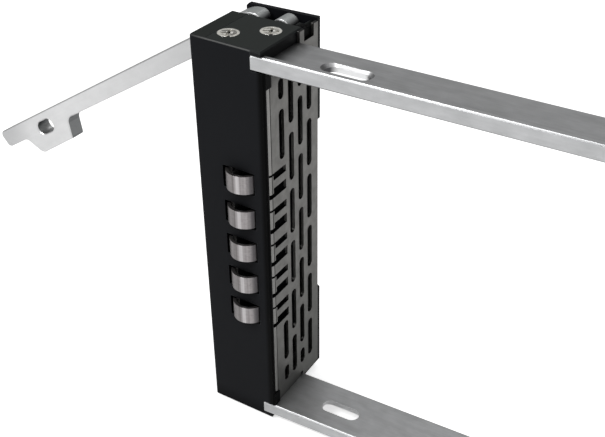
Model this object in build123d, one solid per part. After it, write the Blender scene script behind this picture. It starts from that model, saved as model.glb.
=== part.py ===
from build123d import *
import os
from math import cos, sin, radians

# Hot swap carrier for one 3.5 inch drive: a black end housing with spring contact fingers and a vent plate,
# two aluminium rails that hold the drive between them, and a flat aluminium lever in a side channel.
# X runs along the rails towards the drive, Y across the carrier's thickness, and Z from the lower rail to the
# upper one. The origin is the middle of the housing's foot. The lever stands open, as it does for insertion.

# Housing
housing_height = 112.0
housing_depth = 20.0
near_face = 12.7
side_draft = 0.8
divider_far_face = 5.1
divider_wall = 1.8
front_wall = 2.0
near_wall = 1.4
thin_wall = 0.8
roof_thickness = 2.0
corner_round = 0.8
edge_chamfer = 0.35

# Caps that close the top and the foot
cap_thickness = 3.0
cap_setback = 4.6
cap_skin = 0.5
seam_chamfer = 0.12

# Rails
rail_end = 152.0
web_thickness = 2.0
web_far_edge = 2.45
lip_height = 3.8
lip_thickness = 1.5
lip_near_face = 13.4
lip_start = 7.2
rail_end_round = 3.0
seat_clearance = 0.1

# Slots for the drive's side screws
first_slot = 28.1
slot_spacing = 101.6
slot_line = -5.9
slot_length = 11.4
slot_width = 4.4
slot_mouth_length = 13.2
slot_mouth_width = 5.2
slot_bevel_depth = 0.8

# Vent plate with its spring fingers
sheet = 0.8
bend_radius = 1.3
crease_width = 0.2
crease_depth = 0.15
bend_line = 12.6
plate_far_edge = 10.9
plate_top_gap = 0.3
plate_foot_gap = 4.3
flange_reach = 2.2
pattern_rise = 0.5
top_notch_near = 4.4
top_notch_far = 9.0
top_notch_depth = 3.3
foot_notch_near = 1.0
foot_notch_rise = 1.3
vent_width = 2.4
vent_length = 13.45
vent_pitch = 16.1
vent_low = 9.8
vent_top_margin = 8.6
vent_columns = (-6.4, -2.05, 2.25, 6.55)
finger_count = 5
finger_pitch = 10.1
finger_height = 5.0
finger_neck = 2.2
slit_start = 10.6
slit_end = 4.8
slit_above = 3.1
slit_below = 3.8
finger_bow_radius = 4.6
finger_bow_x = 2.6
finger_bow_y = -11.0
finger_curl_angle = 185.0
window_height = 6.2
window_clearance = 0.4

# Retaining tabs over the plate's near corners
tab_height = 4.0
tab_reach = 1.1
tab_near = 13.3
tab_far = 10.8
near_lip = 0.85
near_lip_round = 0.35

# Outer side plate of the lever channel
channel_width = 6.3
side_plate_thickness = 1.2
side_plate_foot = 2.4
ear_length = 29.0
ear_step = 2.0
ear_slant = 1.5
side_plate_corner = 0.7
channel_back_wall = 2.0
shoulder_reach = 1.9
shoulder_depth = 12.0

# Lever
pivot_x = -6.5
pivot_drop = 4.5
lever_thickness = 5.1
lever_slope = 32.2
arm_width = 4.9
pivot_to_edge = 4.25
arm_length = 108.1
end_pad_depth = 5.3
end_pad_length = 9.8
hook_near_setback = 28.8
hook_far_setback = 13.2
hook_depth = 11.0
hook_slant = 2.7
lever_hole_setback = 20.8
lever_hole_inset = 4.35
lever_hole_length = 7.0
lever_hole_width = 3.9
hub_rise = 4.6
hub_drop = 4.8
hub_reach = 4.3
claw_start = 7.5
claw_width = 4.8
claw_rise = 4.7
notch_drop = 1.0
lever_chamfer = 0.3

# Pivot
pivot_radius = 1.7
pivot_clearance = 0.05
pivot_head_radius = 3.3
pivot_head_height = 0.9
pivot_head_gap = 0.15
pivot_seat_depth = 2.6
washer_radius = 3.4
washer_thickness = 0.45

# Screws
cap_screw_radius = 1.5
cap_screw_head_radius = 2.65
cap_screw_length = 9.5
cap_screw_places = ((-2.6, -7.3), (5.1, -1.1))
hole_clearance = 0.15
nut_radius = 2.6
nut_length = 2.4
nut_rise = 2.0
boss_wall = 1.3
boss_length = 9.0
boss_rib = 1.2
side_screw_radius = 1.25
side_screw_head_radius = 2.2
side_screw_length = 6.0
side_screw_x = 5.6
side_screw_margin = 14.0
side_boss_width = 4.6
recess_width = 0.75
recess_share = 1.5
recess_depth = 0.9
recess_turn = 20.0

# Lever lock
bolt_radius = 1.6
bolt_clearance = 0.3
bolt_travel = 3.4
bolt_tip_gap = 0.3
bolt_length = 14.0
bolt_groove_depth = 0.4
bolt_groove_width = 1.2
bolt_guide_wall = 1.5
bolt_guide_depth = 4.0
stem_setback = 9.0
stem_width = 3.0
stem_height = 2.6
stem_bite = 0.8
knob_thickness = 1.6
knob_height = 9.0
knob_side = 3.2
knob_gap = 0.3
knob_rib = 0.8
spring_sheet = 0.4
spring_width = 3.0
spring_gap = 0.25
spring_foot = 5.0
spring_ramp = 1.3
spring_offset = 1.0
spring_screw_radius = 0.9
spring_screw_head = 1.7
spring_screw_head_height = 1.0
detent_skin = 0.4

# Vents in the hidden front wall
front_vent_width = 2.4
front_vent_pitch = 5.0
front_vent_near = -9.5
front_vent_far = 1.5
front_vent_low = 34.0
front_vent_margin = 14.0

# Places worked out from the sizes above
pivot_z = housing_height - pivot_drop
hook_near = arm_length - hook_near_setback
hook_far = arm_length - hook_far_setback
lever_hole_at = arm_length - lever_hole_setback
vent_high = housing_height - vent_top_margin
front_vent_high = housing_height - front_vent_margin
side_screw_heights = (side_screw_margin, housing_height - side_screw_margin)
front_x = -housing_depth / 2
rear_x = housing_depth / 2
middle_z = housing_height / 2
divider_near_face = divider_far_face - divider_wall
near_inner = -(near_face + side_draft) + near_wall + thin_wall
pocket_y = -(bend_line + 0.05)
cap_front_x = front_x + cap_setback
web_low = cap_thickness
web_high = cap_thickness + web_thickness
lip_low = web_high - lip_height
lip_inner = -lip_near_face + lip_thickness
roof_low = web_high + roof_thickness
channel_far = divider_far_face + channel_width
plate_x = rear_x
plate_back = rear_x + sheet
pattern_z = middle_z + pattern_rise
bow_inner = finger_bow_radius - sheet
finger_heights = [pattern_z + finger_pitch * (k - (finger_count - 1) / 2) for k in range(finger_count)]
bow_at_flange = (finger_bow_radius**2 - (bend_line + finger_bow_y) ** 2) ** 0.5
window_front = finger_bow_x - finger_bow_radius - window_clearance
window_rear = finger_bow_x + bow_at_flange + 0.15
lever_near = divider_far_face + (channel_width - lever_thickness) / 2
bolt_x = pivot_x - pivot_to_edge + lever_hole_inset
bolt_z = pivot_z - lever_hole_at
bolt_tip = divider_far_face - bolt_tip_gap
bolt_tail = bolt_tip - bolt_length
stem_far = bolt_tip - stem_setback
bump_y = divider_far_face - bolt_guide_depth - spring_ramp - 1.2
leaf_middle_x = bolt_x + spring_offset
leaf_z = bolt_z + bolt_radius + bolt_clearance + bolt_guide_wall + 0.3
leaf_hole_z = leaf_z + spring_foot / 2 + 0.3


def block(x_low, x_high, y_low, y_high, z_low, z_high):
    """A box between two corners."""
    size = Box(x_high - x_low, y_high - y_low, z_high - z_low, align=(Align.MIN, Align.MIN, Align.MIN))
    return Pos(x_low, y_low, z_low) * size


def prism(points, z_low, z_high):
    """An upright prism over a plan outline."""
    plan = make_face(Polyline(*points, close=True))
    return Pos(0, 0, z_low) * extrude(plan, z_high - z_low, dir=(0, 0, 1))


def rod_y(radius, x, z, y_low, y_high):
    """A round rod along Y."""
    rod = Cylinder(radius, y_high - y_low, align=(Align.CENTER, Align.CENTER, Align.MIN))
    return Pos(x, y_low, z) * Rot(-90, 0, 0) * rod


def rod_z(radius, x, y, z_low, z_high):
    """A round rod along Z."""
    rod = Cylinder(radius, z_high - z_low, align=(Align.CENTER, Align.CENTER, Align.MIN))
    return Pos(x, y, z_low) * rod


def to_top(piece):
    """The upper twin of a piece made at the foot."""
    return mirror(piece, about=Plane.XY.offset(middle_z))


def near_wall_y(x):
    """Outer face of the near wall at one place along X; it leans outwards to the rear."""
    return -near_face - side_draft * (x - front_x) / housing_depth


def channel_wall_y(x):
    """Inner face of the side plate at one place along X; it leans outwards to the rear."""
    return channel_far + side_draft * (x - front_x) / housing_depth


def outer_block():
    """The housing's whole near part before anything is cut: drafted near face and rounded corners."""
    plan = [
        (front_x, -near_face),
        (rear_x, -near_face - side_draft),
        (rear_x, divider_far_face),
        (front_x, divider_far_face),
    ]
    body = prism(plan, 0, housing_height)
    uprights = body.edges().filter_by(Axis.Z).filter_by(lambda e: e.center().Y < 0)
    body = fillet(uprights.sort_by(Axis.X)[0], corner_round)
    uprights = body.edges().filter_by(Axis.Z).filter_by(lambda e: e.center().Y < 0)
    body = fillet(uprights.sort_by(Axis.X)[-1], corner_round / 2)
    rims = body.faces().sort_by(Axis.Z)[-1].edges() + body.faces().sort_by(Axis.Z)[0].edges()
    return chamfer(rims, edge_chamfer)


def cap_plan(x_rear):
    """Outline of the foot cap: inside a thin skin of the near wall, full width from the lip's start on."""
    return [
        (cap_front_x, near_wall_y(cap_front_x) + cap_skin),
        (lip_start, near_wall_y(lip_start) + cap_skin),
        (lip_start, near_wall_y(lip_start)),
        (x_rear, near_wall_y(x_rear)),
        (x_rear, divider_far_face),
        (cap_front_x, divider_far_face),
    ]


def cap_room():
    """The space that the foot cap takes."""
    behind = block(lip_start, rear_x + 1, -near_face - 2, lip_inner, -1, cap_thickness)
    return prism(cap_plan(rear_x + 1), -1, cap_thickness) + behind


def lip_notch():
    """The notch in the near wall that the foot rail's lip sits in."""
    return block(
        lip_start - seat_clearance,
        rear_x + 1,
        -near_face - 2,
        lip_inner + seat_clearance,
        lip_low - seat_clearance,
        web_high,
    )


def tongue_room():
    """The slot under a cap that the foot rail's web slides into."""
    return block(
        cap_front_x - seat_clearance,
        rear_x + 1,
        lip_inner - seat_clearance,
        web_far_edge + seat_clearance,
        web_low,
        web_high,
    )


def screw_boss(x, y):
    """A square boss in the foot that holds a captive nut, with a rib to the nearest wall."""
    half = nut_radius + boss_wall
    top = web_high + boss_length
    boss = block(x - half, x + half, y - half, y + half, roof_low - 0.5, top)
    if x < 0:
        rib = block(front_x + front_wall / 2, x, y - boss_rib / 2, y + boss_rib / 2, roof_low - 0.5, top)
    else:
        rib = block(x - boss_rib / 2, x + boss_rib / 2, y, divider_near_face + 0.5, roof_low - 0.5, top)
    inside = block(front_x + 0.5, rear_x - 0.4, near_inner - 0.2, divider_far_face - 0.5, 0, housing_height)
    return (boss + rib) & inside


def hexagon(x, y, radius, z_low, z_high):
    """An upright six-sided block."""
    return Pos(x, y, z_low) * extrude(RegularPolygon(radius, 6), z_high - z_low, dir=(0, 0, 1))


def nut_room(x, y):
    """The pocket of a captive nut, open to the rear, and the hole of its screw."""
    low = web_high + nut_rise
    pocket = hexagon(x, y, nut_radius, low, low + nut_length)
    hole = rod_z(cap_screw_radius + hole_clearance, x, y, web_high - 0.5, web_high + boss_length - 1)
    return pocket + hole


def retaining_tab():
    """The foot's tab that overlaps the vent plate's near corner."""
    low = web_high + seat_clearance
    return block(rear_x - 0.6, rear_x + tab_reach, -tab_near, -tab_far, low, low + tab_height)


def rear_lip():
    """The near wall's rear edge, which runs past the vent plate's bend."""
    start = rear_x - 0.5
    end = rear_x + near_lip
    plan = [
        (start, near_wall_y(start)),
        (end - near_lip_round, near_wall_y(end)),
        (end, near_wall_y(end) + near_lip_round),
        (end, pocket_y),
        (start, pocket_y),
    ]
    low = web_high + seat_clearance
    return prism(plan, low, housing_height - low)


def front_vents():
    """Rows of openings through the front wall."""
    count = int((front_vent_high - front_vent_low) / front_vent_pitch) + 1
    half = front_vent_width / 2
    one = block(front_x - 1, front_x + front_wall + 1, front_vent_near, front_vent_far, -half, half)
    return [Pos(0, 0, front_vent_low + k * front_vent_pitch) * one for k in range(count)]


def channel_back():
    """The wall that closes the lever channel at the rear, with the bosses for the side plate's screws."""
    inner_x = rear_x - channel_back_wall
    plan = [
        (inner_x, divider_far_face - 0.5),
        (rear_x, divider_far_face - 0.5),
        (rear_x, channel_wall_y(rear_x)),
        (inner_x, channel_wall_y(inner_x)),
    ]
    wall = prism(plan, side_plate_foot, housing_height - 1)
    half = side_boss_width / 2
    start = divider_far_face - 0.5
    for z in side_screw_heights:
        end = channel_wall_y(side_screw_x) - 0.1
        wall += block(side_screw_x - half, rear_x - 0.1, start, end, z - half, z + half)
    end = divider_far_face + shoulder_reach
    wall += block(inner_x, rear_x, start, end, housing_height - shoulder_depth, housing_height)
    for z in side_screw_heights:
        wall -= rod_y(side_screw_radius, side_screw_x, z, divider_far_face, channel_far + side_draft)
    return wall


def make_housing():
    """The moulded housing: near wall with finger windows, front wall, divider and the channel's back wall."""
    body = outer_block()
    inner_x = front_x + front_wall
    body -= block(inner_x, rear_x + 1, near_inner, divider_near_face, roof_low, housing_height - roof_low)
    for x, y in cap_screw_places:
        body += screw_boss(x, y)
        body += to_top(screw_boss(x, y))
        body -= nut_room(x, y)
        body -= to_top(nut_room(x, y))
    low = web_high + tab_height + 0.3
    body -= block(window_rear - 0.05, rear_x + 1, pocket_y, near_inner + 0.1, low, housing_height - low)
    half = window_height / 2
    for z in finger_heights:
        body -= block(window_front, window_rear, -near_face - 2, near_inner + 0.1, z - half, z + half)
    body += rear_lip()
    body += retaining_tab()
    body += to_top(retaining_tab())
    for vent in front_vents():
        body -= vent
    body += channel_back()
    body += bolt_guide()
    body -= bolt_room()
    for room in (cap_room(), tongue_room(), lip_notch()):
        body -= room
        body -= to_top(room)
    body -= rod_y(pivot_radius, pivot_x, pivot_z, divider_far_face - pivot_seat_depth, divider_far_face + 1)
    return body


def bolt_guide():
    """The round guide on the divider that the lock bolt slides through."""
    outer = bolt_radius + bolt_clearance + bolt_guide_wall
    guide = rod_y(outer, bolt_x, bolt_z, divider_far_face - bolt_guide_depth, divider_near_face + 0.5)
    return guide & block(front_x + 0.5, rear_x, near_inner, divider_near_face + 0.5, 0, housing_height)


def bolt_room():
    """The bolt's bore, the slot for its stem through the front wall and the detent screw's hole."""
    bore = rod_y(bolt_radius + bolt_clearance, bolt_x, bolt_z, bolt_tail - 0.5, divider_far_face + 1)
    slot = block(
        front_x - 1,
        front_x + front_wall + 0.5,
        stem_far - stem_width - knob_gap,
        stem_far + bolt_travel + knob_gap,
        bolt_z - stem_height / 2 - knob_gap,
        bolt_z + stem_height / 2 + knob_gap,
    )
    screw_end = divider_far_face - detent_skin
    hole = rod_y(spring_screw_radius, leaf_middle_x, leaf_hole_z, divider_near_face - 0.5, screw_end)
    return bore + slot + hole


def make_cap():
    """The foot cap, countersunk for two screws and notched for the rail's lip."""
    cap = prism(cap_plan(rear_x), 0, cap_thickness)
    rim = cap.faces().sort_by(Axis.Z)[0].edges()
    seam = rim.filter_by(lambda e: e.center().X < lip_start and e.center().Y < divider_near_face)
    cap = chamfer(seam, seam_chamfer)
    rim = cap.faces().sort_by(Axis.Z)[0].edges()
    open_rim = rim.filter_by(lambda e: e.center().X > lip_start + 0.5 or e.center().Y > divider_near_face)
    cap = chamfer(open_rim, edge_chamfer)
    cap -= lip_notch()
    for x, y in cap_screw_places:
        cap -= rod_z(cap_screw_radius + hole_clearance, x, y, -1, cap_thickness + 1)
        cap -= countersink(cap_screw_head_radius, cap_screw_radius, x, y)
    return cap


def countersink(head_radius, shank_radius, x, y):
    """A cone that narrows upwards from the foot."""
    depth = head_radius - shank_radius
    cone = Cone(head_radius, shank_radius, depth, align=(Align.CENTER, Align.CENTER, Align.MIN))
    return Pos(x, y, 0) * cone


def cross_recess(width, span, depth):
    """A cross-shaped driver recess that opens at Z = 0 and points upwards."""
    bar = Box(span, width, depth, align=(Align.CENTER, Align.CENTER, Align.MIN))
    return bar + Rot(0, 0, 90) * bar


def make_cap_screws():
    """Two countersunk screws through the foot cap and the rail's web into the captive nuts."""
    screws = []
    for x, y in cap_screw_places:
        head = countersink(cap_screw_head_radius, cap_screw_radius, x, y)
        screw = head + rod_z(cap_screw_radius, x, y, 0, cap_screw_length)
        recess = cross_recess(recess_width, cap_screw_head_radius * recess_share, recess_depth)
        screws.append(screw - Pos(x, y, 0) * Rot(0, 0, recess_turn) * recess)
    return Compound(children=[s.solid() for s in screws])


def make_inserts():
    """Two captive nuts in the foot's bosses."""
    nuts = []
    low = web_high + nut_rise
    for x, y in cap_screw_places:
        nut = hexagon(x, y, nut_radius - seat_clearance, low, low + nut_length)
        nut -= rod_z(cap_screw_radius, x, y, low - 1, low + nut_length + 1)
        nuts.append(nut)
    return Compound(children=[n.solid() for n in nuts])


def screw_slot(x):
    """One slot of the foot rail: straight walls and a bevelled mouth on the outer face."""
    slot = extrude(Pos(x, slot_line, web_low - 1) * SlotOverall(slot_length, slot_width), web_thickness + 2)
    mouth = Pos(x, slot_line, web_low) * SlotOverall(slot_mouth_length, slot_mouth_width)
    throat = Pos(x, slot_line, web_low + slot_bevel_depth) * SlotOverall(slot_length, slot_width)
    return slot + loft([mouth, throat])


def make_rail():
    """The foot rail: an angle section whose lip starts at the housing and whose web runs on as a tongue."""
    web = block(cap_front_x, rail_end, lip_inner - 0.01, web_far_edge, web_low, web_high)
    far_corner = web.edges().filter_by(Axis.Z).filter_by(lambda e: e.center().X > 0 and e.center().Y > 0)
    web = fillet(far_corner, rail_end_round)
    lip = block(lip_start, rail_end, -lip_near_face, lip_inner, lip_low, web_high)
    rim = lip.edges().filter_by(Axis.X)
    lip = chamfer(rim.filter_by(lambda e: e.center().Y < lip_inner - 0.1), edge_chamfer)
    rail = web + lip
    for x in (first_slot, first_slot + slot_spacing):
        rail -= screw_slot(x)
    for x, y in cap_screw_places:
        rail -= rod_z(cap_screw_radius + hole_clearance, x, y, web_low - 1, web_high + 1)
    return rail


def vent_slot(y, z_low, z_high):
    """One upright round-ended slot through the vent plate."""
    shape = Plane.YZ.offset(plate_x - 1) * Pos(y, (z_low + z_high) / 2) * Rot(0, 0, 90)
    return extrude(shape * SlotOverall(z_high - z_low, vent_width), sheet + 2, dir=(1, 0, 0))


def vent_slots():
    """Four staggered columns of slots; the column beside the fingers stops short above and below them."""
    slots = []
    rows = int((vent_high - vent_low) / vent_pitch / 2) + 1
    finger_zone = finger_pitch * (finger_count - 1) / 2 + slit_below
    for column, y in enumerate(vent_columns):
        shift = vent_pitch / 2 if column % 2 else 0
        for k in range(-rows - 1, rows + 1):
            centre = pattern_z + shift + vent_pitch * k
            low = max(centre - vent_length / 2, vent_low)
            high = min(centre + vent_length / 2, vent_high)
            beside_fingers = column == 0 and abs(centre - pattern_z) < finger_zone
            if high - low > vent_width * 1.2 and not beside_fingers:
                slots.append(vent_slot(y, low, high))
    return slots


def finger_bow():
    """The sprung arm of one finger: forward from the bend, out through its window and curled back in."""
    start = radians(-12)
    curl = radians(-finger_curl_angle)
    middle = (start + curl) / 2

    def on_bow(radius, angle):
        return (finger_bow_x + radius * cos(angle), finger_bow_y + radius * sin(angle))

    outer = ThreePointArc(
        on_bow(finger_bow_radius, start), on_bow(finger_bow_radius, middle), on_bow(finger_bow_radius, curl)
    )
    inner = ThreePointArc(on_bow(bow_inner, start), on_bow(bow_inner, middle), on_bow(bow_inner, curl))
    plan = make_face([outer, Line(outer @ 1, inner @ 1), inner, Line(inner @ 0, outer @ 0)])
    arm = extrude(plan, finger_height, dir=(0, 0, 1))
    root_x = finger_bow_x + finger_bow_radius * cos(radians(-12)) - sheet
    root = block(root_x, plate_back - bend_radius, -bend_line, -bend_line + sheet, 0, finger_height)
    return arm + root


def make_vent_plate():
    """The vent plate with its bent near edge, its punched slots and the row of spring fingers."""
    inner_z = web_high + seat_clearance
    tab_z = inner_z + tab_height + 0.2
    plan = Plane.YZ.offset(plate_x) * make_face(
        Polyline(
            (-bend_line + bend_radius, tab_z),
            (-tab_far + 0.1, tab_z),
            (-tab_far + 0.1, inner_z),
            (web_far_edge, inner_z),
            (web_far_edge, plate_foot_gap),
            (plate_far_edge, plate_foot_gap),
            (plate_far_edge, housing_height - plate_top_gap),
            (web_far_edge, housing_height - plate_top_gap),
            (web_far_edge, housing_height - inner_z),
            (-tab_far + 0.1, housing_height - inner_z),
            (-tab_far + 0.1, housing_height - tab_z),
            (-bend_line + bend_radius, housing_height - tab_z),
            close=True,
        )
    )
    plate = extrude(plan, sheet, dir=(1, 0, 0))
    bend_x = plate_back - bend_radius
    bend_y = -bend_line + bend_radius
    bend = rod_z(bend_radius, bend_x, bend_y, tab_z, housing_height - tab_z)
    bend -= rod_z(bend_radius - sheet, bend_x, bend_y, tab_z, housing_height - tab_z)
    bend &= block(bend_x, plate_back, -bend_line, bend_y, tab_z, housing_height - tab_z)
    flange_front = bend_x - flange_reach
    flange = block(flange_front, bend_x, -bend_line, -bend_line + sheet, tab_z, housing_height - tab_z)
    plate += [bend, flange]
    cuts = vent_slots()
    for z in finger_heights:
        for low, high in ((finger_height / 2, slit_above), (-slit_below, -finger_height / 2)):
            cuts.append(block(0, plate_back + 1, -near_face - 2, -slit_start, z + low, z + high))
        for low, high in ((finger_neck / 2, slit_above), (-slit_below, -finger_neck / 2)):
            cuts.append(block(plate_x - 1, plate_back + 1, -slit_start - 0.01, -slit_end, z + low, z + high))
    crease_front = plate_back - crease_depth
    crease_far = bend_y + crease_width
    cuts.append(block(crease_front, plate_back + 1, bend_y, crease_far, tab_z - 1, housing_height - tab_z + 1))
    notch_z = housing_height - top_notch_depth
    through = (plate_x - 1, plate_back + 1)
    cuts.append(block(*through, top_notch_near, top_notch_far, notch_z, housing_height + 1))
    cuts.append(block(*through, foot_notch_near, web_far_edge, 0, inner_z + foot_notch_rise))
    plate -= cuts
    plate += [Pos(0, 0, z - finger_height / 2) * finger_bow() for z in finger_heights]
    return plate


def make_side_plate():
    """The thin outer plate of the lever channel, with an ear at each end of its rear edge."""
    plan = [
        (front_x, channel_far),
        (rear_x, channel_far + side_draft),
        (rear_x, channel_far + side_draft + side_plate_thickness),
        (front_x, channel_far + side_plate_thickness),
    ]
    plate = prism(plan, side_plate_foot, housing_height)
    low = side_plate_foot + ear_length
    high = housing_height - ear_length
    step = Plane.XZ.offset(-channel_far - side_draft - 3) * make_face(
        Polyline(
            (rear_x + 1, low - ear_slant),
            (rear_x, low - ear_slant),
            (rear_x - ear_step, low),
            (rear_x - ear_step, high),
            (rear_x, high + ear_slant),
            (rear_x + 1, high + ear_slant),
            close=True,
        )
    )
    plate -= extrude(step, 8, dir=(0, -1, 0))
    corner = plate.edges().filter_by(
        lambda e: e.center().Z > housing_height - 0.01 and e.center().X < front_x + 0.01
    )
    plate = chamfer(corner, side_plate_corner)
    for z in side_screw_heights:
        plate -= rod_y(side_screw_radius + hole_clearance, side_screw_x, z, divider_far_face, near_face + 5)
        plate -= side_countersink(z)
    plate -= rod_y(pivot_radius, pivot_x, pivot_z, divider_far_face, near_face + 5)
    return plate


def side_screw_seat():
    """Outer face of the side plate where its screws go in."""
    return channel_wall_y(side_screw_x) + side_plate_thickness


def side_countersink(z):
    """A cone that widens outwards at one screw of the side plate."""
    depth = side_screw_head_radius - side_screw_radius
    align = (Align.CENTER, Align.CENTER, Align.MAX)
    cone = Cone(side_screw_radius, side_screw_head_radius, depth, align=align)
    return Pos(side_screw_x, side_screw_seat() + 0.02, z) * Rot(-90, 0, 0) * cone


def make_side_screws():
    """Countersunk screws that hold the side plate on its bosses."""
    screws = []
    top = side_screw_seat() + 0.02
    for z in side_screw_heights:
        screw = side_countersink(z) + rod_y(side_screw_radius, side_screw_x, z, top - side_screw_length, top)
        recess = cross_recess(recess_width, side_screw_head_radius * recess_share, recess_depth * 0.7)
        screw -= Pos(side_screw_x, top, z) * Rot(90, 0, 0) * recess
        screws.append(screw)
    return Compound(children=[s.solid() for s in screws])


def lever_outline():
    """Side outline of the lever, drawn with the arm along +X from the pivot and its outer edge on top."""
    slope = radians(lever_slope)

    def from_pivot(dx, dz):
        """A point beside the pivot in the side view, turned into the arm's own frame."""
        return (-dx * cos(slope) - dz * sin(slope), -dx * sin(slope) + dz * cos(slope))

    outer = pivot_to_edge
    inner = pivot_to_edge - arm_width
    pad = pivot_to_edge - end_pad_depth
    hook = pivot_to_edge - hook_depth
    claw_end = claw_start + claw_width
    claw_round = claw_width / 2 - 0.1
    crown_along = (outer * cos(slope) - hub_rise) / sin(slope)
    heel_along = (hub_drop + inner * cos(slope)) / sin(slope)
    points = [
        ((crown_along, outer), 8.0),
        ((arm_length, outer), 1.6),
        ((arm_length - 0.4, pad), 1.4),
        ((arm_length - end_pad_length, pad), 2.2),
        ((hook_far, hook - 0.2), 2.4),
        ((hook_near, hook + 0.2), 0.9),
        ((hook_near - hook_slant, inner), 2.4),
        ((heel_along, inner), 6.0),
        (from_pivot(claw_end, -hub_drop), 3.0),
        (from_pivot(claw_end, claw_rise), claw_round),
        (from_pivot(claw_start, claw_rise), claw_round),
        (from_pivot(claw_start, -notch_drop), claw_round * 0.6),
        (from_pivot(hub_reach, -notch_drop), claw_round * 0.6),
        (from_pivot(hub_reach, hub_rise), 2.2),
    ]
    corners = [place for place, _ in points]
    radii = [radius for _, radius in points]
    return make_face(FilletPolyline(*corners, radius=radii, close=True))


def make_lever():
    """The flat lever: stout hub with a claw, straight arm, and a hooked end with a slotted hole."""
    plan = lever_outline()
    plan -= Circle(pivot_radius + pivot_clearance)
    hole = SlotOverall(lever_hole_length, lever_hole_width)
    plan -= Pos(lever_hole_at, pivot_to_edge - lever_hole_inset) * hole
    slope = radians(lever_slope)
    along = (-cos(slope), 0, -sin(slope))
    side_view = Plane(origin=(pivot_x, lever_near, pivot_z), x_dir=along, z_dir=(0, 1, 0))
    lever = extrude(side_view * plan, lever_thickness, dir=(0, 1, 0))
    faces = lever.faces().filter_by(Axis.Y).sort_by(Axis.Y)
    rims = faces[0].edges() + faces[-1].edges()
    pivot_rims = rims.filter_by(
        lambda e: e.geom_type == GeomType.CIRCLE and abs(e.radius - pivot_radius - pivot_clearance) < 0.01
    )
    return chamfer([e for e in rims if e not in pivot_rims], lever_chamfer)


def make_pivot_pin():
    """The headed pin that the lever turns on, pressed into the divider through the side plate."""
    outer_face = channel_wall_y(pivot_x) + side_plate_thickness
    seat = outer_face + pivot_head_gap
    shank = rod_y(pivot_radius, pivot_x, pivot_z, divider_far_face - pivot_seat_depth, seat + 0.05)
    head = rod_y(pivot_head_radius, pivot_x, pivot_z, seat, seat + pivot_head_height)
    rim = head.faces().sort_by(Axis.Y)[-1].edges()
    head = chamfer(rim, pivot_head_height / 2)
    return shank + head


def make_pivot_washers():
    """A thin washer on each side of the lever's hub."""
    washers = []
    for y in (divider_far_face, channel_far - washer_thickness):
        ring = rod_y(washer_radius, pivot_x, pivot_z, y, y + washer_thickness)
        ring -= rod_y(pivot_radius + pivot_clearance, pivot_x, pivot_z, y - 1, y + 1)
        washers.append(ring)
    return Compound(children=[w.solid() for w in washers])


def make_lock_bolt():
    """The bolt that slides into the closed lever's hole, with detent notches and the stem of its knob."""
    bolt = rod_y(bolt_radius, bolt_x, bolt_z, bolt_tail, bolt_tip)
    ends = bolt.edges().filter_by(GeomType.CIRCLE)
    bolt = chamfer(ends, lever_chamfer)
    half = bolt_groove_width / 2
    low = bolt_z + bolt_radius - bolt_groove_depth
    for middle in (bump_y, bump_y - bolt_travel):
        bolt -= block(bolt_x - bolt_radius, bolt_x + bolt_radius, middle - half, middle + half, low, low + 1)
    stem = block(
        front_x - knob_gap,
        bolt_x - bolt_radius + stem_bite,
        stem_far - stem_width,
        stem_far,
        bolt_z - stem_height / 2,
        bolt_z + stem_height / 2,
    )
    return bolt + stem


def make_lock_knob():
    """The ribbed thumb piece on the housing's front that moves the bolt."""
    middle = stem_far - stem_width / 2
    outer = front_x - knob_gap - knob_thickness
    knob = block(
        outer,
        front_x - knob_gap,
        middle - knob_side,
        middle + knob_side,
        bolt_z - knob_height / 2,
        bolt_z + knob_height / 2,
    )
    knob = fillet(knob.edges().filter_by(Axis.X), 1.2)
    for k in (-1, 0, 1):
        rib = block(
            outer - knob_rib / 2,
            outer + 0.3,
            middle + 1.8 * k - knob_rib / 2,
            middle + 1.8 * k + knob_rib / 2,
            bolt_z - knob_height / 2 + 1.5,
            bolt_z + knob_height / 2 - 1.5,
        )
        knob += rib
    return knob


def make_detent_spring():
    """A leaf spring on the divider whose bump drops into the bolt's notches."""
    wall_y = divider_near_face
    bump_z = bolt_z + bolt_radius + spring_gap
    under = [
        (wall_y, leaf_z + spring_foot),
        (wall_y, leaf_z),
        (bump_y + spring_ramp, leaf_z),
        (bump_y, bump_z),
        (bump_y - spring_ramp, leaf_z),
    ]
    over = [
        (bump_y - spring_ramp, leaf_z + spring_sheet),
        (bump_y, bump_z + spring_sheet * 1.4),
        (bump_y + spring_ramp, leaf_z + spring_sheet),
        (wall_y - spring_sheet, leaf_z + spring_sheet),
        (wall_y - spring_sheet, leaf_z + spring_foot),
    ]
    side_view = make_face(Polyline(*under, *over, close=True))
    x_low = leaf_middle_x - spring_width / 2
    leaf = extrude(Plane.YZ.offset(x_low) * side_view, spring_width, dir=(1, 0, 0))
    return leaf - rod_y(spring_screw_radius, leaf_middle_x, leaf_hole_z, wall_y - 1, wall_y + 1)


def make_detent_screw():
    """The small pan head screw that holds the leaf spring."""
    seat = divider_near_face - spring_sheet
    end = divider_far_face - detent_skin
    screw = rod_y(spring_screw_radius, leaf_middle_x, leaf_hole_z, seat - spring_screw_head_height, end)
    head = rod_y(spring_screw_head, leaf_middle_x, leaf_hole_z, seat - spring_screw_head_height, seat)
    return screw + head


foot_cap = make_cap()
foot_rail = make_rail()
foot_screws = make_cap_screws()
foot_inserts = make_inserts()

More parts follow.
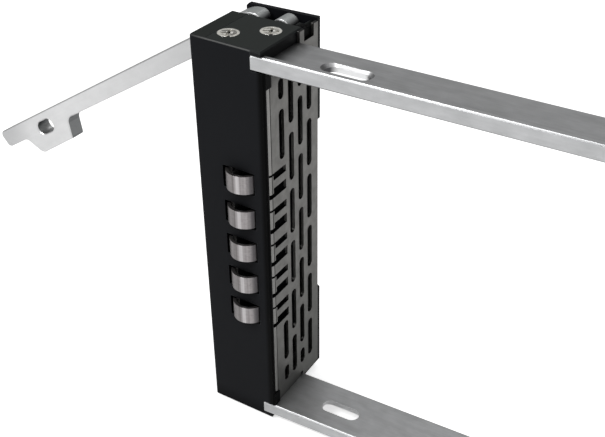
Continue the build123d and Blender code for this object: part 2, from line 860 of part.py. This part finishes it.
pieces = {
    "housing": make_housing(),
    "top_cap": to_top(foot_cap),
    "foot_cap": foot_cap,
    "side_plate": make_side_plate(),
    "side_plate_screws": make_side_screws(),
    "vent_plate": make_vent_plate(),
    "top_rail": to_top(foot_rail),
    "foot_rail": foot_rail,
    "top_cap_screws": to_top(foot_screws),
    "foot_cap_screws": foot_screws,
    "top_inserts": to_top(foot_inserts),
    "foot_inserts": foot_inserts,
    "lever": make_lever(),
    "pivot_pin": make_pivot_pin(),
    "pivot_washers": make_pivot_washers(),
    "lock_bolt": make_lock_bolt(),
    "lock_knob": make_lock_knob(),
    "detent_spring": make_detent_spring(),
    "detent_screw": make_detent_screw(),
}

os.makedirs("parts", exist_ok=True)
for name, piece in pieces.items():
    export_step(piece, f"parts/{name}.step")
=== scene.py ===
import bpy
from mathutils import Matrix, Vector


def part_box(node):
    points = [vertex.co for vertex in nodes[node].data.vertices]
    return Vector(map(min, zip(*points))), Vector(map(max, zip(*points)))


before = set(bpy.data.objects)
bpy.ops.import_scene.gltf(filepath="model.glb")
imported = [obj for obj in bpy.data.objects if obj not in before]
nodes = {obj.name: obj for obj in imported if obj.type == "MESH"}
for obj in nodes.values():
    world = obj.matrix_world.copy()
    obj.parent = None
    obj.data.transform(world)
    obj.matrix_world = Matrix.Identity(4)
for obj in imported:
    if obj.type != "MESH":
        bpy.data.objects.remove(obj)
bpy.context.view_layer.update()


# Camera
# A 57 mm lens held above and in front of the carrier's near face, 0.3 m from the housing. Its frame is
# shifted, because the picture is a crop whose centre isn't the lens axis.
camera_place = (0.1225, -0.1823, 0.19847)
right = (0.89519, 0.44345, 0.04467)
down = (0.28178, -0.48547, -0.8276)
forward = (-0.34531, 0.75344, -0.55954)
lens = bpy.data.cameras.new("camera")
lens.lens = 57.27
lens.sensor_width = 36
lens.sensor_fit = "HORIZONTAL"
lens.shift_x = -0.14977
lens.shift_y = 0.03885
lens.clip_start = 0.01
lens.clip_end = 20
camera = bpy.data.objects.new("camera", lens)
bpy.context.scene.collection.objects.link(camera)
turn = Matrix([right, [-part for part in down], [-part for part in forward]]).transposed()
camera.matrix_world = Matrix.Translation(camera_place) @ turn.to_4x4()
bpy.context.scene.camera = camera
bpy.context.scene.view_settings.view_transform = "Standard"


# Floor and light
# A seamless white sweep in a grey room that the metal mirrors, lit softly from the upper left in front,
# more weakly from the right, and from overhead. The floor is the first surface, so the shader writing that
# all finishes share comes here: a Wire is one output of a node, and a Shading is one tree of nodes.
class Wire:
    """Sums, products and powers of wires and numbers add the Math nodes for them."""

    def __init__(self, shading, socket):
        self.shading = shading
        self.socket = socket

    def join(self, operation, other):
        """A Math node on this wire and another wire or number."""
        return self.shading.add("ShaderNodeMath", {"operation": operation}, {0: self, 1: other})

    def __add__(self, other):
        return self.join("ADD", other)

    __radd__ = __add__

    def __sub__(self, other):
        return self.join("SUBTRACT", other)

    def __rsub__(self, other):
        return self.shading.add("ShaderNodeMath", {"operation": "SUBTRACT"}, {0: other, 1: self})

    def __mul__(self, other):
        return self.join("MULTIPLY", other)

    __rmul__ = __mul__

    def __pow__(self, other):
        return self.join("POWER", other)

    def clamped(self):
        """Held between 0 and 1."""
        settings = {"operation": "ADD", "use_clamp": True}
        return self.shading.add("ShaderNodeMath", settings, {0: self, 1: 0.0})

    def size(self):
        """The number without its sign."""
        return self.shading.add("ShaderNodeMath", {"operation": "ABSOLUTE"}, {0: self})

    def past(self, level, blend):
        """0 up to the level, and from there up to 1 within the blend."""
        return ((self - level) * (1 / blend)).clamped()

    def before(self, level, blend):
        """0 from the level on, and up to 1 within the blend before it."""
        return ((level - self) * (1 / blend)).clamped()

    def along(self, level, half_width, firmness=1.0):
        """A line: 1 at the level and 0 from the half width on. A firm line has a broader top."""
        return (firmness - (self - level).size() * (firmness / half_width)).clamped()

    def axis(self, number):
        """One component of a vector: 0 for X, 1 for Y, 2 for Z."""
        return self.shading.add("ShaderNodeSeparateXYZ", {}, {0: self}, output=number)

    def axes(self):
        """All three components of a vector."""
        return [self.axis(number) for number in range(3)]


class Shading:
    """The nodes of one material or of the room, with one method that adds any node."""

    def __init__(self, tree):
        self.tree = tree

    def plug(self, socket, value):
        """Link the socket to a wire, or give it a plain value."""
        if isinstance(value, Wire):
            self.tree.links.new(value.socket, socket)
        else:
            socket.default_value = value

    def add(self, kind, settings=None, inputs=None, output=0):
        """Add a node of that type with its settings and its sockets' values or links, for one output."""
        node = self.tree.nodes.new(kind)
        for name, value in (settings or {}).items():
            setattr(node, name, value)
        for name, value in (inputs or {}).items():
            self.plug(node.inputs[name], value)
        return Wire(self, node.outputs[output])

    def mix(self, amount, low, high):
        """A colour between two colours."""
        inputs = {0: amount, 6: low, 7: high}
        return self.add("ShaderNodeMix", {"data_type": "RGBA"}, inputs, output=2)


class Finish(Shading):
    """One procedural material."""

    def __init__(self, name):
        self.material = bpy.data.materials.new(name)
        self.material.use_nodes = True
        super().__init__(self.material.node_tree)
        self.surface = self.tree.nodes["Principled BSDF"]

    def set(self, **values):
        """Give the shader's own sockets their values or links, each by its name."""
        for name, value in values.items():
            socket_name = name.replace("_", " ").title().replace("Ior", "IOR")
            self.plug(self.surface.inputs[socket_name], value)


def rgb(red, green, blue):
    return (red, green, blue, 1.0)


def softbox(name, place, aim, size, power):
    """A wide lamp that points at one place."""
    light = bpy.data.lights.new(name, "AREA")
    light.shape = "RECTANGLE"
    light.size, light.size_y = size
    light.energy = power
    lamp = bpy.data.objects.new(name, light)
    lamp.location = place
    lamp.rotation_euler = (Vector(place) - Vector(aim)).to_track_quat("Z", "Y").to_euler()
    bpy.context.scene.collection.objects.link(lamp)


floor_reach, floor_drop = 1.5, 0.0004
seen_glow, mirrored_glow = 0.6, 0.04
corners = [(x * floor_reach, y * floor_reach, 0) for x, y in ((-1, -1), (1, -1), (1, 1), (-1, 1))]
floor_mesh = bpy.data.meshes.new("floor")
floor_mesh.from_pydata(corners, [], [(0, 1, 2, 3)])
floor = bpy.data.objects.new("floor", floor_mesh)
floor.location.z = -floor_drop
bpy.context.scene.collection.objects.link(floor)
sweep = Finish("white_sweep")
sweep.set(base_color=rgb(0.86, 0.86, 0.86), roughness=0.9, specular_ior_level=0.1)
camera_ray = sweep.add("ShaderNodeLightPath", output="Is Camera Ray")
glossy_ray = sweep.add("ShaderNodeLightPath", output="Is Glossy Ray")
glow_level = camera_ray * seen_glow + glossy_ray * mirrored_glow
glow = sweep.add("ShaderNodeEmission", {}, {"Color": rgb(1, 1, 1), "Strength": glow_level})
painted = Wire(sweep, sweep.surface.outputs[0])
glowing = sweep.add("ShaderNodeAddShader", {}, {0: painted, 1: glow})
sweep.plug(sweep.tree.nodes["Material Output"].inputs["Surface"], glowing)
floor_mesh.materials.append(sweep.material)

room = bpy.data.worlds.new("room")
room.use_nodes = True
room_shading = Shading(room.node_tree)
seen = room_shading.add("ShaderNodeLightPath", output="Is Camera Ray")
walls = room_shading.mix(seen, rgb(0.3, 0.3, 0.3), rgb(1, 1, 1))
room_shading.plug(room.node_tree.nodes["Background"].inputs["Color"], walls)
bpy.context.scene.world = room
softbox("front_light", place=(-0.33, -0.55, 0.8), aim=(0, 0, 0.06), size=(0.45, 0.35), power=5.0)
softbox("right_light", place=(0.6, -0.5, 0.6), aim=(0, 0, 0.06), size=(0.6, 0.5), power=1.6)
softbox("top_light", place=(0.1, 0.2, 0.95), aim=(0.02, 0, 0.06), size=(0.6, 0.6), power=2.4)


# Housing, caps and knob
# The upright end housing, the cap on each of its ends and the lock's thumb knob, of black glass-filled
# plastic, moulded matt with a fine grain. Faces that look up are painted paler in patches, a painted top
# light. Edges are painted paler, a painted highlight mixed with some wear, and recesses are painted black,
# a painted shade. The caps and the knob come from other moulds and are glossier.
class PieceFinish(Finish):
    """The finish of one kind of piece, laid out by place, direction, edges and corners."""

    def spot(self):
        """Position on the object, in metres."""
        return self.add("ShaderNodeTexCoord", output="Object")

    def place(self, stretch=(1, 1, 1), turned=(0, 0, 0)):
        """Position for a grain that is that many times longer along the turned axes."""
        inputs = {"Vector": self.spot(), "Scale": stretch, "Rotation": turned}
        return self.add("ShaderNodeMapping", {"vector_type": "TEXTURE"}, inputs)

    def facing(self):
        """Direction that the surface faces."""
        return self.add("ShaderNodeNewGeometry", output="Normal")

    def noise(self, size, place=None, detail=3.0):
        """Soft noise from 0 to 1 with features of about that size in metres."""
        inputs = {"Vector": place or self.place(), "Scale": 1 / size, "Detail": detail}
        return self.add("ShaderNodeTexNoise", {}, inputs)

    def edge(self, radius, gain=3.2):
        """Normals rounded over sharp edges, and how far they turn each point: 0 on flats, 1 on edges."""
        rounded = self.add("ShaderNodeBevel", {"samples": 6}, {"Radius": radius})
        inputs = {0: rounded, 1: self.facing()}
        likeness = self.add("ShaderNodeVectorMath", {"operation": "DOT_PRODUCT"}, inputs, output=1)
        return rounded, ((1 - likeness) * gain).clamped()

    def openness(self, reach, power):
        """1 in the open and towards 0 in corners and recesses, where less light reaches. It sets where shade
        is painted.
        """
        inputs = {"Distance": reach}
        return self.add("ShaderNodeAmbientOcclusion", {"samples": 8}, inputs, output=1) ** power

    def bump(self, height, depth, normal):
        inputs = {"Height": height, "Distance": depth, "Strength": 1.0, "Normal": normal}
        return self.add("ShaderNodeBump", {}, inputs)


def dress(finish, *names):
    """The CAD pieces keep their shape and take the finish."""
    for name in names:
        for slot in nodes[name].material_slots:
            slot.material = finish.material


shade_black = rgb(0.0008, 0.0009, 0.001)
corner_reach = 0.006


def moulded_plastic(name, darkest, palest, top_lit_colour, edge_highlight_colour, gloss):
    plastic = PieceFinish(name)
    grain = plastic.noise(0.0003, detail=2.0)
    cloud = plastic.noise(0.018, detail=2.0)
    wear = plastic.noise(0.004)
    rounded, edge = plastic.edge(0.0003)
    # Faces that look up are painted paler in patches, a painted top light.
    patchy_top_light = (plastic.facing().axis(2).past(0.5, 0.5) * (0.35 + cloud * 1.2)).clamped()
    tone = plastic.mix(patchy_top_light, plastic.mix(cloud, darkest, palest), top_lit_colour)
    # Edges are painted paler, a painted highlight mixed with some wear.
    worn_and_highlit = plastic.mix((edge * (0.4 + wear)).clamped(), tone, edge_highlight_colour)
    # Corners and recesses are painted black, a painted shade.
    plastic.tone = plastic.mix(plastic.openness(corner_reach, 2.0), shade_black, worn_and_highlit)
    plastic.set(
        base_color=plastic.tone,
        roughness=0.42 + cloud * 0.08 + grain * 0.08 - edge * 0.12,
        normal=plastic.bump(grain, 0.00002, rounded),
        specular_ior_level=gloss,
    )
    return plastic


housing_black = moulded_plastic(
    "housing_black",
    darkest=rgb(0.0085, 0.009, 0.0105),
    palest=rgb(0.0115, 0.0122, 0.014),
    top_lit_colour=rgb(0.0165, 0.0188, 0.0175),
    edge_highlight_colour=rgb(0.05, 0.054, 0.06),
    gloss=0.045,
)
# The near wall turns in along its rear edge, which is painted black there and on faces that look back, a
# painted shade. Its top is a thin skin beside the cap with a painted highlight, fainter at its front end.
# The shoulder behind the lever's claw is painted black, a painted shade.
rear_shade_start, rear_shade_width = 0.0086, 0.0011
housing_half_depth = 0.01
near_wall_front, near_wall_slope = 0.0127, 0.04
skin_front, skin_rear, skin_low, skin_width = -0.0096, 0.0073, 0.1115, 0.0003
shoulder_x, shoulder_y = 0.008, 0.002
faces_x, faces_y, faces_z = housing_black.facing().axes()
place_x, place_y, place_z = housing_black.spot().axes()
rear_or_near = (faces_x.past(0.5, 0.25) + faces_y.before(-0.5, 0.25)).clamped()
# Painted shade on the near wall's rear edge and on faces that look back.
rear_shade = place_x.past(rear_shade_start, rear_shade_width) * rear_or_near
into_wall = place_y + near_wall_front + (place_x + housing_half_depth) * near_wall_slope
# Painted highlight along the near wall's top skin.
skin_highlight = place_z.past(skin_low, 0.00025) * into_wall.before(skin_width, 0.000083)
skin_highlight = skin_highlight * place_x.before(skin_rear, 0.00025) * faces_z.past(0.6, 0.25)
skin_highlight = skin_highlight * (0.25 + place_x.past(skin_front, 0.004) * 0.75)
# Painted shade on the shoulder behind the claw.
shoulder_shade = place_x.past(shoulder_x, 0.001) * place_y.past(shoulder_y, 0.001)
near_wall = housing_black.mix((rear_shade + shoulder_shade).clamped(), housing_black.tone, shade_black)
housing_black.set(base_color=housing_black.mix(skin_highlight, near_wall, rgb(0.21, 0.21, 0.205)))
dress(housing_black, "housing")
cap_black = moulded_plastic(
    "cap_black",
    darkest=rgb(0.006, 0.0065, 0.0075),
    palest=rgb(0.009, 0.0097, 0.011),
    top_lit_colour=rgb(0.015, 0.0178, 0.0165),
    edge_highlight_colour=rgb(0.05, 0.055, 0.056),
    gloss=0.12,
)
dress(cap_black, "top_cap", "foot_cap")
knob_black = moulded_plastic(
    "knob_black",
    darkest=rgb(0.012, 0.0125, 0.013),
    palest=rgb(0.018, 0.019, 0.02),
    top_lit_colour=rgb(0.02, 0.021, 0.022),
    edge_highlight_colour=rgb(0.06, 0.06, 0.06),
    gloss=0.25,
)
dress(knob_black, "lock_knob")


# Side plate and its screws
# Thin steel sheet over the lever's channel, powder coated black with a slight orange peel. Black
# countersunk screws hold it to the housing.
def powder_coat(name, colour, edge_highlight_colour):
    coat = PieceFinish(name)
    orange_peel = coat.noise(0.0006, detail=2.0)
    rounded, edge = coat.edge(0.0003)
    coat.set(
        # Edges are painted paler, a painted highlight.
        base_color=coat.mix(edge, colour, edge_highlight_colour),
        roughness=0.38 + orange_peel * 0.14,
        normal=coat.bump(orange_peel, 0.00003, rounded),
        specular_ior_level=0.06,
    )
    return coat


plate_black = powder_coat("plate_black", rgb(0.007, 0.0075, 0.009), rgb(0.02, 0.021, 0.023))
dress(plate_black, "side_plate")
screw_black = powder_coat("screw_black", rgb(0.012, 0.012, 0.013), rgb(0.07, 0.07, 0.07))
dress(screw_black, "side_plate_screws")


# Rails
# Two slotted angles of extruded aluminium that hold the drive, blasted and clear anodised, with fine drawing
# lines and mottled patches, edges with a painted highlight and painted shade in corners against the plastic.
# The slots are milled after anodising, and their bare walls are painted near white, bright metal with a
# painted highlight, with painted shade at the top rail's countersunk ends. Painted shade dulls the lower
# half of the lip's bevel, so it shines along its upper half only.
# The colour of painted shade in corners and creases, and of painted dark reflections.
painted_dark = rgb(0.01, 0.01, 0.01)


def satin_metal(name, dark, pale, line_size, roughness, stretch=(1, 1, 1), turned=(0, 0, 0), rounding=0.0001):
    """A metal with lines in one direction. Each piece sets its base colour from what is kept here."""
    metal = PieceFinish(name)
    metal.lines = metal.noise(line_size, metal.place(stretch, turned), 4.0)
    grit = metal.noise(0.0002, detail=2.0)
    cloud = metal.noise(0.0025, metal.place((2, 1, 1), turned), 4.0).past(0.3, 0.4)
    rounded, metal.edges = metal.edge(rounding)
    # Faces that look to the near side take no painted shade; the rest are painted darker in corners.
    near_side = (metal.facing().axis(1) * -1.5).clamped()
    metal.open_air = (metal.openness(corner_reach, 2.5) + near_side).clamped()
    metal.tone = metal.mix((metal.lines * 0.5 + cloud * 0.5).clamped(), dark, pale)
    metal.set(
        metallic=1.0,
        roughness=roughness + metal.lines * 0.12 + grit * 0.08,
        normal=metal.bump(metal.lines * 0.6 + grit * 0.4, 0.000012, rounded),
    )
    return metal


rail_metal = satin_metal(
    "rail_aluminium",
    dark=rgb(0.47, 0.478, 0.482),
    pale=rgb(0.69, 0.694, 0.705),
    line_size=0.0004,
    roughness=0.28,
    stretch=(50, 1, 1),
    rounding=0.00003,
)
slot_line, slot_half_width = -0.0059, 0.0028
between_rails_z = 0.05
bevel_middle = -0.01314
rail_y, rail_z = [rail_metal.spot().axis(number) for number in (1, 2)]
endwise, upright = [rail_metal.facing().axis(number).size() for number in (0, 2)]
not_level = upright.before(0.93, 0.125)
milled = (rail_y - slot_line).size().before(slot_half_width, 0.00011) * not_level
on_top_rail = rail_z.past(between_rails_z, 0.001)
slot_end_shade = (endwise * 1.3).clamped() * on_top_rail
# Slot walls painted near white, a painted highlight; the top rail's slot ends painted dark, a painted shade.
slot_light_and_shade = rail_metal.mix(slot_end_shade, rgb(0.95, 0.955, 0.96), rgb(0.09, 0.09, 0.095))
# Painted shade on the lower half of the lip's bevel.
bevel_foot_shade = upright.past(0.3, 0.25) * not_level * rail_y.before(bevel_middle, 0.00005)
# The foot rail takes less of the painted shade.
rail_air = (rail_metal.open_air + (1 - on_top_rail) * 0.4).clamped()
# Edges painted near white, a painted highlight.
rail_edge_highlit = rail_metal.mix(rail_metal.edges, rail_metal.tone, rgb(0.97, 0.97, 0.97))
rail_tone = rail_metal.mix(rail_air, painted_dark, rail_edge_highlit)
rail_tone = rail_metal.mix(milled, rail_tone, slot_light_and_shade)
rail_metal.set(base_color=rail_metal.mix(bevel_foot_shade, rail_tone, rgb(0.3, 0.303, 0.308)))
dress(rail_metal, "top_rail", "foot_rail")


# Lever
# The hooked lever that pulls the carrier home, sawn from the same aluminium and ground flat with the grain
# along its arm. Its faces are painted darker towards the tip and by the housing, a painted shade. Its rim is
# painted dark, a painted shade, and paler where it looks up, a painted light. Its edges have a painted
# highlight, and painted shade dulls the bevel round its near face on the hub.
arm_turn = (0, -0.562, 0)
brightest_x, half_arm = -0.072, 0.06
tip_x, tip_blend = -0.0865, 0.008
hub_end_x, hub_blend = -0.02, 0.002
half_bevel = 0.0002
lever_metal = satin_metal(
    "lever_aluminium",
    dark=rgb(0.76, 0.762, 0.765),
    pale=rgb(0.88, 0.882, 0.885),
    line_size=0.0005,
    roughness=0.32,
    stretch=(50, 1, 1),
    turned=arm_turn,
)
lever_x, lever_y = [lever_metal.spot().axis(number) for number in (0, 1)]
faces_side, looks_up = [lever_metal.facing().axis(number) for number in (1, 2)]
flatness = faces_side.size()
on_arm = lever_x.before(hub_end_x, hub_blend)
# Painted shade, deeper away from the arm's brightest point and at its tip.
away_shade = ((lever_x - brightest_x).size() * (1 / half_arm)).clamped() ** 1.5
tip_shade = lever_x.before(tip_x, tip_blend)
shaded_face_tone = lever_metal.mix((away_shade * 0.75 + tip_shade * 0.5).clamped(), lever_metal.tone, rgb(0.53, 0.535, 0.54))
# The rim's painted shade, and painted light where it looks up.
rim_shade = lever_metal.mix(lever_metal.lines, rgb(0.16, 0.166, 0.17), rgb(0.24, 0.247, 0.25))
rim_light = lever_metal.mix(on_arm, rgb(0.6, 0.625, 0.62), rgb(0.8, 0.81, 0.81))
rim_light_and_shade = lever_metal.mix(looks_up.clamped(), rim_shade, rim_light)
lever_tone = lever_metal.mix(flatness.before(0.55, 0.333), shaded_face_tone, rim_light_and_shade)
# Edges painted near white, a painted highlight; the hub's bevel painted dull, a painted shade.
lever_light_and_shade = lever_metal.mix(lever_metal.edges, lever_tone, rgb(0.96, 0.96, 0.96))
on_bevel = lever_y.before(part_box("lever")[0][1] + half_bevel, 0.000033)
on_bevel = on_bevel * flatness.past(0.35, 0.125) * flatness.before(0.93, 0.125)
lever_light_and_shade = lever_metal.mix(on_bevel * (1 - on_arm), lever_light_and_shade, rgb(0.2, 0.205, 0.205))
# Painted shade in corners, less on the arm.
lever_air = (lever_metal.open_air ** 0.5 + on_arm * 0.3).clamped()
lever_metal.set(base_color=lever_metal.mix(lever_air, painted_dark, lever_light_and_shade))
dress(lever_metal, "lever")


# Vent plate
# One stainless sheet, 0.8 mm thick, punched and bent, with its grain upright and dark cut edges, and a
# painted highlight on its other edges. The bend on its near edge has a painted highlight beside a crease of
# painted shade, and the sheet is painted darker towards the foot and in corners, a painted shade. The spring
# fingers are burnished where they rub on the cage, with a painted highlight along each crest and painted
# shade in front of it and where the bow turns away.
crest_x, crest_half_width = 0.0034, 0.0007
shade_line_x, shade_line_half_width = 0.0022, 0.000286
shade_front_x, shade_rear_x = 0.0026, 0.0054
crease_x, crease_y, crease_half_width = 0.0105, -0.0112, 0.00022
bend_x, finger_y = 0.0088, -0.0128
foot_shade_height, foot_zone = 0.05, 0.02
cut_dark = rgb(0.03, 0.03, 0.03)
plate_steel = satin_metal(
    "plate_steel",
    dark=rgb(0.14, 0.137, 0.131),
    pale=rgb(0.27, 0.267, 0.257),
    line_size=0.0003,
    roughness=0.3,
    stretch=(1, 1, 50),
)
sheet_x, sheet_y, sheet_z = plate_steel.spot().axes()
streaks = plate_steel.noise(0.0006, plate_steel.place((1, 1, 60)), 2.0)
scratches = plate_steel.noise(0.0005, plate_steel.place((6, 1, 1)), 3.0)
scuffs = (streaks * 0.6 + scratches * 0.4).past(0.25, 0.526)
# Painted highlight along each finger's crest; painted shade before it and towards its rear.
crest_highlight = sheet_x.along(crest_x, crest_half_width, 1.5)
finger_front_shade = sheet_x.before(shade_front_x, 0.0004)
shade_line = sheet_x.along(shade_line_x, shade_line_half_width)
finger_rear_shade = sheet_x.past(shade_rear_x, 0.00077)
finger_wear_and_light = plate_steel.mix(scuffs, rgb(0.22, 0.205, 0.206), rgb(0.5, 0.472, 0.476))
finger_wear_and_light = plate_steel.mix(finger_front_shade * 0.4 + shade_line * 0.4, finger_wear_and_light, rgb(0.13, 0.125, 0.12))
finger_wear_and_light = plate_steel.mix(crest_highlight * (0.1 + streaks), finger_wear_and_light, rgb(0.72, 0.7, 0.705))
finger_wear_and_light = plate_steel.mix(finger_rear_shade * 0.85, finger_wear_and_light, rgb(0.09, 0.085, 0.09))
# Painted shade, darker towards the foot.
foot_shade = sheet_z.before(foot_shade_height, foot_shade_height)
# Painted highlight on the bend and painted shade in the crease.
on_bend = sheet_y.before(crease_y, 0.000167) * sheet_x.past(bend_x, 0.0005)
crease_shade = sheet_y.along(crease_y, crease_half_width, 1.6) * sheet_x.past(crease_x, 0.00011)
cut_edge = plate_steel.facing().axis(2).size().past(0.7, 0.25)
sheet_tone = plate_steel.mix(foot_shade * 0.75, plate_steel.tone, rgb(0.065, 0.068, 0.062))
sheet_tone = plate_steel.mix(plate_steel.edges, sheet_tone, rgb(0.36, 0.355, 0.345))
sheet_tone = plate_steel.mix(on_bend * streaks * 0.8, sheet_tone, rgb(0.5, 0.495, 0.485))
sheet_tone = plate_steel.mix(crease_shade, sheet_tone, painted_dark)
sheet_tone = plate_steel.mix(cut_edge, sheet_tone, cut_dark)
# Painted shade in corners, less near the foot.
sheet_air = (plate_steel.open_air + sheet_z.before(foot_zone, 0.00667) * 0.5).clamped()
sheet_tone = plate_steel.mix(sheet_air, rgb(0.004, 0.004, 0.004), sheet_tone)
on_finger = sheet_y.before(finger_y, 0.00025)
plate_steel.set(base_color=plate_steel.mix(on_finger, sheet_tone, finger_wear_and_light))
dress(plate_steel, "vent_plate")


# Pivot pin, bolt and spring
# Plain bright steel: a turned pin on which the lever swings in the housing, the lock's sliding bolt, and the
# rolled leaf spring whose bump drops into the bolt's notches.
turned_steel = satin_metal(
    "turned_steel",
    dark=rgb(0.45, 0.45, 0.45),
    pale=rgb(0.52, 0.52, 0.52),
    line_size=0.0002,
    roughness=0.25,
)
# Edges painted bright, a painted highlight, and corners dark, a painted shade.
steel_highlit = turned_steel.mix(turned_steel.edges, turned_steel.tone, rgb(0.75, 0.75, 0.75))
turned_steel.set(base_color=turned_steel.mix(turned_steel.open_air, painted_dark, steel_highlit))
dress(turned_steel, "pivot_pin", "lock_bolt", "detent_spring")


# Cap screws and nuts
# Nickel plated countersunk screws hold each cap to plain steel nuts in the housing. Their heads have a
# painted highlight round the rim and a painted glint beside the mouth of the cross recess, are mottled
# between, and have a painted dark reflection near the rim.
cap_screw_places = ((-0.0026, -0.0073), (0.0051, -0.0011))
rim_highlight_radius = 0.0019
glint_step, glint_radius = (0.0006, 0.0003), 0.0005
dark_reflection_step, dark_reflection_radius = (0.0013, -0.00205), 0.00055


def plated(name, colour, roughness):
    plate = PieceFinish(name)
    swirl = plate.noise(0.0009)
    rounded, edge = plate.edge(0.00025)
    plate_x, plate_y = [plate.spot().axis(number) for number in (0, 1)]

    def reach(step=(0, 0)):
        """Distance from the nearer cap screw's axis, moved by a step."""
        gaps = [(plate_x - x - step[0], plate_y - y - step[1]) for x, y in cap_screw_places]
        first, second = [(gap_x * gap_x + gap_y * gap_y) ** 0.5 for gap_x, gap_y in gaps]
        return first.join("MINIMUM", second)

    # Painted glint, painted highlight round the rim and on edges, and painted dark reflection, about each cap
    # screw's axis.
    glint = reach(glint_step).before(glint_radius, 0.000167)
    rim_highlight = reach().past(rim_highlight_radius, 0.0002) * 0.6
    dark_reflection = reach(dark_reflection_step).before(dark_reflection_radius, 0.000125)
    dull = rgb(*[channel * 0.3 for channel in colour[:3]])
    tone = plate.mix((swirl.past(0.4, 0.25) + rim_highlight).clamped(), dull, colour)
    tone = plate.mix((edge + glint).clamped(), tone, rgb(0.95, 0.94, 0.91))
    plate.set(
        base_color=plate.mix(dark_reflection, tone, painted_dark),
        metallic=0.6 - glint * 0.6,
        roughness=roughness + swirl * 0.15,
        normal=rounded,
    )
    return plate


nickel = plated("nickel", rgb(0.88, 0.86, 0.79), 0.16)
dress(nickel, "top_cap_screws", "foot_cap_screws", "detent_screw")
nut_steel = plated("nut_steel", rgb(0.55, 0.55, 0.53), 0.3)
dress(nut_steel, "top_inserts", "foot_inserts")


# Washers
# Thin rings punched from natural nylon sheet, one on each side of the lever's hub. They keep the lever off
# the walls of its channel.
nylon = PieceFinish("nylon")
nylon_tone = nylon.mix(nylon.noise(0.002), rgb(0.62, 0.61, 0.56), rgb(0.7, 0.69, 0.64))
nylon.set(base_color=nylon_tone, roughness=0.5)
dress(nylon, "pivot_washers")
